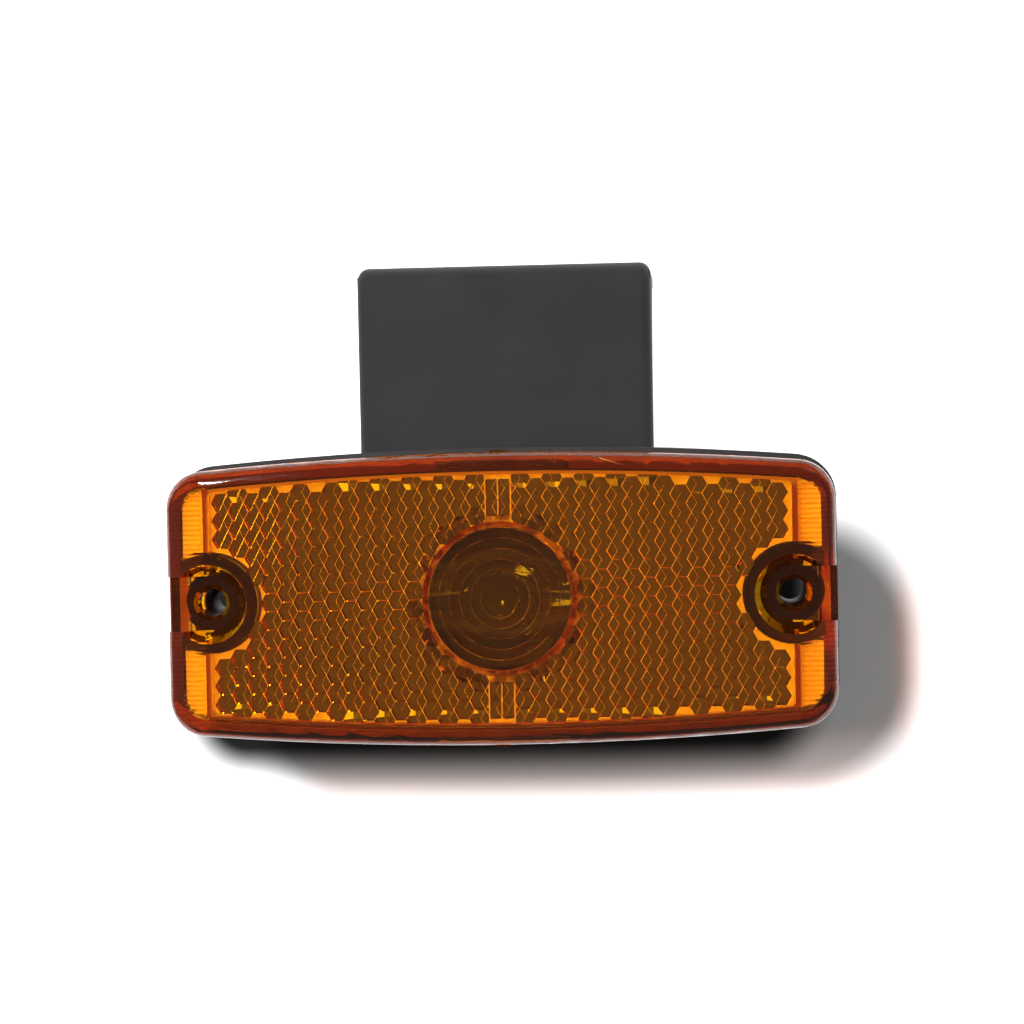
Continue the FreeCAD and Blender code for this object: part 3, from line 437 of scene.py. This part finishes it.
def mouldedMaterial(name, kind):
    look = mouldedLook[kind]
    material, tree, shader = newMaterial(name)
    cloud = objectNoise(tree, *mouldedLook["cloud"])
    tree.links.new(colourRamp(tree, cloud, look["dark"], look["pale"]), shader.inputs["Base Color"])
    tree.links.new(spread(tree, cloud, *look["rough"]), shader.inputs["Roughness"])
    shader.inputs["Specular IOR Level"].default_value = look["gloss"]
    addBump(tree, shader, objectNoise(tree, look["grain"], mouldedLook["grainDetail"]), look["bump"])
    return material


dressNode("bracket", mouldedMaterial("grained_black_bracket", "bracket"))
dressNode("base_housing", mouldedMaterial("grained_black_base", "base"))
dressNode("lens_gasket", mouldedMaterial("grey_foam", "foam"))
dressNode("cable_grommet", mouldedMaterial("black_rubber", "rubber"))


# pale plate, bulb, contacts and fasteners

plateLook = {"dark": (0.76, 0.75, 0.70), "pale": (0.84, 0.83, 0.78), "cloud": (90.0, 4.0), "rough": 0.45}
bulbLook = {"tint": (0.98, 0.99, 1.0, 1), "ior": 1.5, "haze": (120.0, 2.0), "rough": (0.0, 0.03)}
metalLook = {
    "nickel_cap": {"dark": (0.52, 0.50, 0.46), "pale": (0.70, 0.68, 0.63), "rough": (0.22, 0.38),
                   "stretch": (0.2, 1, 1)},
    "spring_brass": {"dark": (0.58, 0.42, 0.16), "pale": (0.76, 0.58, 0.27), "rough": (0.28, 0.42),
                     "stretch": (1, 0.2, 1)},
    "zinc_steel": {"dark": (0.48, 0.49, 0.50), "pale": (0.66, 0.67, 0.68), "rough": (0.3, 0.45),
                   "stretch": (1, 1, 0.4)},
    "tungsten_wire": {"dark": (0.22, 0.21, 0.20), "pale": (0.34, 0.33, 0.32), "rough": (0.3, 0.5),
                      "stretch": (1, 1, 1)},
    "brush": (900.0, 4.0), "bump": 0.01 * mm,   # shared: scale and detail of the brushing, and its depth
}


def plateMaterial(look):
    material, tree, shader = newMaterial("pale_plate")
    cloud = objectNoise(tree, *look["cloud"])
    tree.links.new(colourRamp(tree, cloud, look["dark"], look["pale"]), shader.inputs["Base Color"])
    shader.inputs["Roughness"].default_value = look["rough"]
    return material


def bulbMaterial(look):
    material, tree, shader = newMaterial("bulb_glass")
    shader.inputs["Base Color"].default_value = look["tint"]
    shader.inputs["Transmission Weight"].default_value = 1.0
    shader.inputs["IOR"].default_value = look["ior"]
    haze = objectNoise(tree, *look["haze"])
    tree.links.new(spread(tree, haze, *look["rough"]), shader.inputs["Roughness"])
    return material


def metalMaterial(name):
    look = metalLook[name]
    material, tree, shader = newMaterial(name)
    brush = objectNoise(tree, *metalLook["brush"], look["stretch"])
    tree.links.new(colourRamp(tree, brush, look["dark"], look["pale"]), shader.inputs["Base Color"])
    tree.links.new(spread(tree, brush, *look["rough"]), shader.inputs["Roughness"])
    shader.inputs["Metallic"].default_value = 1.0
    addBump(tree, shader, brush, metalLook["bump"])
    return material


nickel = metalMaterial("nickel_cap")
brass = metalMaterial("spring_brass")
zinc = metalMaterial("zinc_steel")
tungsten = metalMaterial("tungsten_wire")
dressNode("reflex_backing", plateMaterial(plateLook))
dressNode("bulb_envelope", bulbMaterial(bulbLook))
for node in ("bulb_cap_left", "bulb_cap_right"):
    dressNode(node, nickel)
for node in ("bulb_lead_left", "bulb_lead_right"):
    dressNode(node, tungsten)
for node in ("contact_left", "contact_right", "terminal_nuts"):
    dressNode(node, brass)
for node in ("terminal_screws", "terminal_clamps", "bracket_washers", "bracket_screws"):
    dressNode(node, zinc)
print("materials set")


# filament, a coil that takes the place of the plain rod

coilLook = {"turns": 34.0, "wire": 0.05 * mm, "rings": 20, "sides": 8}
coilInputs = {"Turns": "Float", "Radius": "Float", "Length": "Float", "Wire": "Float",
              "Rings": "Int", "Sides": "Int", "Middle": "Vector", "Material": "Material"}


def coilTree():
    tree = bpy.data.node_groups.new("filament_coil", "GeometryNodeTree")
    names = {}
    for name, kind in coilInputs.items():
        socket = tree.interface.new_socket(name, in_out="INPUT", socket_type="NodeSocket" + kind)
        names[name] = socket.identifier
    tree.interface.new_socket("Geometry", in_out="OUTPUT", socket_type="NodeSocketGeometry")
    given = addNode(tree, "NodeGroupInput")
    spiral = addNode(tree, "GeometryNodeCurveSpiral")
    shift = addNode(tree, "GeometryNodeTransform", Rotation=(0, math.pi / 2, 0))
    section = addNode(tree, "GeometryNodeCurvePrimitiveCircle")
    sweep = addNode(tree, "GeometryNodeCurveToMesh", Fill_Caps=True)
    real = addNode(tree, "GeometryNodeRealizeInstances")
    paint = addNode(tree, "GeometryNodeSetMaterial")
    out = addNode(tree, "NodeGroupOutput")
    for name, node, socket in (
            ("Turns", spiral, "Rotations"), ("Length", spiral, "Height"), ("Rings", spiral, "Resolution"),
            ("Radius", spiral, "Start Radius"), ("Radius", spiral, "End Radius"),
            ("Middle", shift, "Translation"), ("Wire", section, "Radius"), ("Sides", section, "Resolution"),
            ("Material", paint, "Material")):
        tree.links.new(given.outputs[name], node.inputs[socket])
    tree.links.new(spiral.outputs["Curve"], shift.inputs["Geometry"])
    tree.links.new(shift.outputs["Geometry"], sweep.inputs["Curve"])
    tree.links.new(section.outputs["Curve"], sweep.inputs["Profile Curve"])
    tree.links.new(sweep.outputs["Mesh"], real.inputs["Geometry"])
    tree.links.new(real.outputs["Geometry"], paint.inputs["Geometry"])
    tree.links.new(paint.outputs["Geometry"], out.inputs["Geometry"])
    return tree, names


def buildCoil(look):
    low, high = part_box("bulb_filament")
    tree, names = coilTree()
    coil = makeObject("filament_coil", bpy.data.meshes.new("filament_coil"))
    turner = coil.modifiers.new("coil", "NODES")
    turner.node_group = tree
    middle = (low + high) / 2
    values = {"Turns": look["turns"], "Radius": (high.z - low.z) / 2 - look["wire"], "Wire": look["wire"],
              "Length": high.x - low.x - 2 * look["wire"], "Rings": look["rings"], "Sides": look["sides"],
              "Middle": (low.x + look["wire"], middle.y, middle.z), "Material": tungsten}
    for name, value in values.items():
        turner[names[name]] = value
    plainMesh(coil)
    coil.data.polygons.foreach_set("use_smooth", [True] * len(coil.data.polygons))
    dress(coil, tungsten, "tungsten", "bulb_filament")
    print("filament:", len(coil.data.polygons), "faces")


buildCoil(coilLook)


# floor, lamps, world and camera

floorLook = {
    "gap": 0.5 * mm, "half": 0.6, "colour": (0.95, 0.95, 0.96), "rough": 0.9,
    # boxes in mm about the lamp's axis: where the painted white glow fades into the real shadow, and a
    # painted shadow behind and below the lamp
    "shade": {"low": (-30, -16), "high": (47, -12), "round": 17, "soft": 9},
    # painted shadow: the floor's colour goes to "dark" behind and just below the lamp, standing in for its
    # contact shadow
    "under": {"low": (-48, -22), "high": (40, 4), "round": 6, "soft": 8}, "dark": (0.02, 0.02, 0.02),
}


def outsideBox(tree, look):  # 0 inside a rounded box on the floor and 1 well outside it
    place = axes(tree)
    reach = []
    for axis, low, high in zip("XZ", look["low"], look["high"]):
        middle = (low + high) / 2 * mm + (lampAxis.z if axis == "Z" else 0)
        away = calc(tree, "ABSOLUTE", calc(tree, "SUBTRACT", place[axis], middle))
        beyond = calc(tree, "MAXIMUM", calc(tree, "SUBTRACT", away, (high - low) / 2 * mm))
        reach.append(calc(tree, "POWER", beyond, 2.0))
    gap = calc(tree, "SQRT", calc(tree, "ADD", *reach))
    fade = addNode(tree, "ShaderNodeMapRange", {"interpolation_type": "SMOOTHSTEP"},
                   From_Min=look["round"] * mm, From_Max=(look["round"] + look["soft"]) * mm)
    tree.links.new(gap, fade.inputs["Value"])
    return fade.outputs["Result"]


def floorMaterial(look):
    material, tree, shader = newMaterial("pale_floor")
    # painted shadow mask: 0 behind and below the lamp, where the floor is painted dark and its glow is cut
    # off
    under = outsideBox(tree, look["under"])
    colour = colourRamp(tree, under, look["dark"], look["colour"], 0.0, 1.0)
    tree.links.new(colour, shader.inputs["Base Color"])
    shader.inputs["Roughness"].default_value = look["rough"]
    shader.inputs["Specular IOR Level"].default_value = 0.0
    rays = addNode(tree, "ShaderNodeLightPath")
    seen = calc(tree, "MAXIMUM", rays.outputs["Is Camera Ray"], rays.outputs["Is Glossy Ray"])
    seen = calc(tree, "MAXIMUM", seen, rays.outputs["Is Transmission Ray"])
    # painted light: a white glow for camera, gloss and transmission rays that covers any real shadow on the
    # floor, cut off inside the shade box so the lamp's own shadow shows there
    white = addNode(tree, "ShaderNodeEmission")
    paintedGlow = calc(tree, "MULTIPLY", outsideBox(tree, look["shade"]), under)
    tree.links.new(calc(tree, "MULTIPLY", seen, paintedGlow), white.inputs["Strength"])
    both = addNode(tree, "ShaderNodeAddShader")
    tree.links.new(shader.outputs["BSDF"], both.inputs[0])
    tree.links.new(white.outputs["Emission"], both.inputs[1])
    clear = addNode(tree, "ShaderNodeBsdfTransparent")  # the floor is clear from behind, and casts no shadow
    side = addNode(tree, "ShaderNodeNewGeometry")
    through = calc(tree, "MAXIMUM", side.outputs["Backfacing"], rays.outputs["Is Shadow Ray"])
    whole = mixShaders(tree, through, both.outputs["Shader"], clear.outputs["BSDF"])
    tree.links.new(whole, tree.nodes["Material Output"].inputs["Surface"])
    return material


def buildFloor(look):
    y, h = cadBox[1].y + look["gap"], look["half"]
    low, high = lampAxis.z - h, lampAxis.z + h
    mesh = bpy.data.meshes.new("floor")
    mesh.from_pydata([(-h, y, low), (h, y, low), (h, y, high), (-h, y, high)], [], [(0, 1, 2, 3)])
    mesh.materials.append(floorMaterial(look))
    floor = makeObject("floor", mesh)


buildFloor(floorLook)

lampLook = {  # angles sideways and up, distance and size in metres, level on a facing white card
    "key": {"turn": -15.5, "rise": 14.0, "away": 0.9, "size": (0.07, 0.07), "level": 0.28},
    "strip": {"turn": -14.7, "rise": 13.5, "away": 0.9, "size": (0.12, 0.30), "level": 0.70},
    "fill": {"turn": 40.0, "rise": 30.0, "away": 1.2, "size": (0.6, 0.6), "level": 0.04},
    "back": {"turn": 165.0, "rise": 35.0, "away": 1.2, "size": (0.7, 0.7), "level": 0.4},
}
unmirrored = ("strip",)  # lamps that gloss doesn't mirror


def buildLamp(name, look):
    turn, rise = math.radians(look["turn"]), math.radians(look["rise"])
    aim = Vector((0, frontY, lampAxis.z))
    way = Vector((math.sin(turn) * math.cos(rise), -math.cos(turn) * math.cos(rise), math.sin(rise)))
    light = bpy.data.lights.new(name, "AREA")
    light.shape = "RECTANGLE"
    light.size, light.size_y = look["size"]
    light.energy = look["level"] * math.pi ** 2 * look["away"] ** 2
    lamp = makeObject(name, light)
    lamp.visible_glossy = name not in unmirrored
    lamp.location = aim + way * look["away"]
    lamp.rotation_euler = way.to_track_quat("Z", "Y").to_euler()


for name, look in lampLook.items():
    buildLamp(name, look)

worldLook = {"front": 0.14, "behind": 0.45, "fade": (-1.0, 0.6)}  # levels, and where one turns into the other


def buildWorld(look):
    world = bpy.data.worlds.new("studio")
    bpy.context.scene.world = world
    world.use_nodes = True
    tree = world.node_tree
    level = spread(tree, axes(tree, "Generated")["Y"], look["front"], look["behind"], *look["fade"])
    tree.links.new(level, tree.nodes["Background"].inputs["Color"])


buildWorld(worldLook)

cameraLook = {  # angles in degrees, seen from the point on the lamp that the camera turns about
    "azimuth": 3.77, "elevation": 3.23, "roll": -1.25, "away": 0.4544,
    "pivot": Vector((0, frontY + 3 * mm, lampAxis.z)), "aimRight": 1.8 * mm, "aimUp": 13.3 * mm,
    "focal": 104.0, "sensor": 36.0, "clip": (0.01, 10.0),
}


def buildCamera(look):
    az, el, roll = (math.radians(look[k]) for k in ("azimuth", "elevation", "roll"))
    back = Vector((math.sin(az) * math.cos(el), -math.cos(az) * math.cos(el), math.sin(el)))
    right = Vector((math.cos(az), math.sin(az), 0))
    up = back.cross(right)
    right, up = (math.cos(roll) * right + math.sin(roll) * up, math.cos(roll) * up - math.sin(roll) * right)
    eye = look["pivot"] + back * look["away"]
    aim = look["pivot"] + right * look["aimRight"] + up * look["aimUp"]
    back = (eye - aim).normalized()
    right = up.cross(back).normalized()
    up = back.cross(right)
    camera = bpy.data.cameras.new("camera")
    camera.lens, camera.sensor_width = look["focal"], look["sensor"]
    camera.clip_start, camera.clip_end = look["clip"]
    holder = makeObject("camera", camera)
    holder.matrix_world = Matrix((right, up, back)).transposed().to_4x4()
    holder.location = eye
    bpy.context.scene.camera = holder


buildCamera(cameraLook)
bpy.context.scene.view_settings.view_transform = "Standard"
print("stage set")
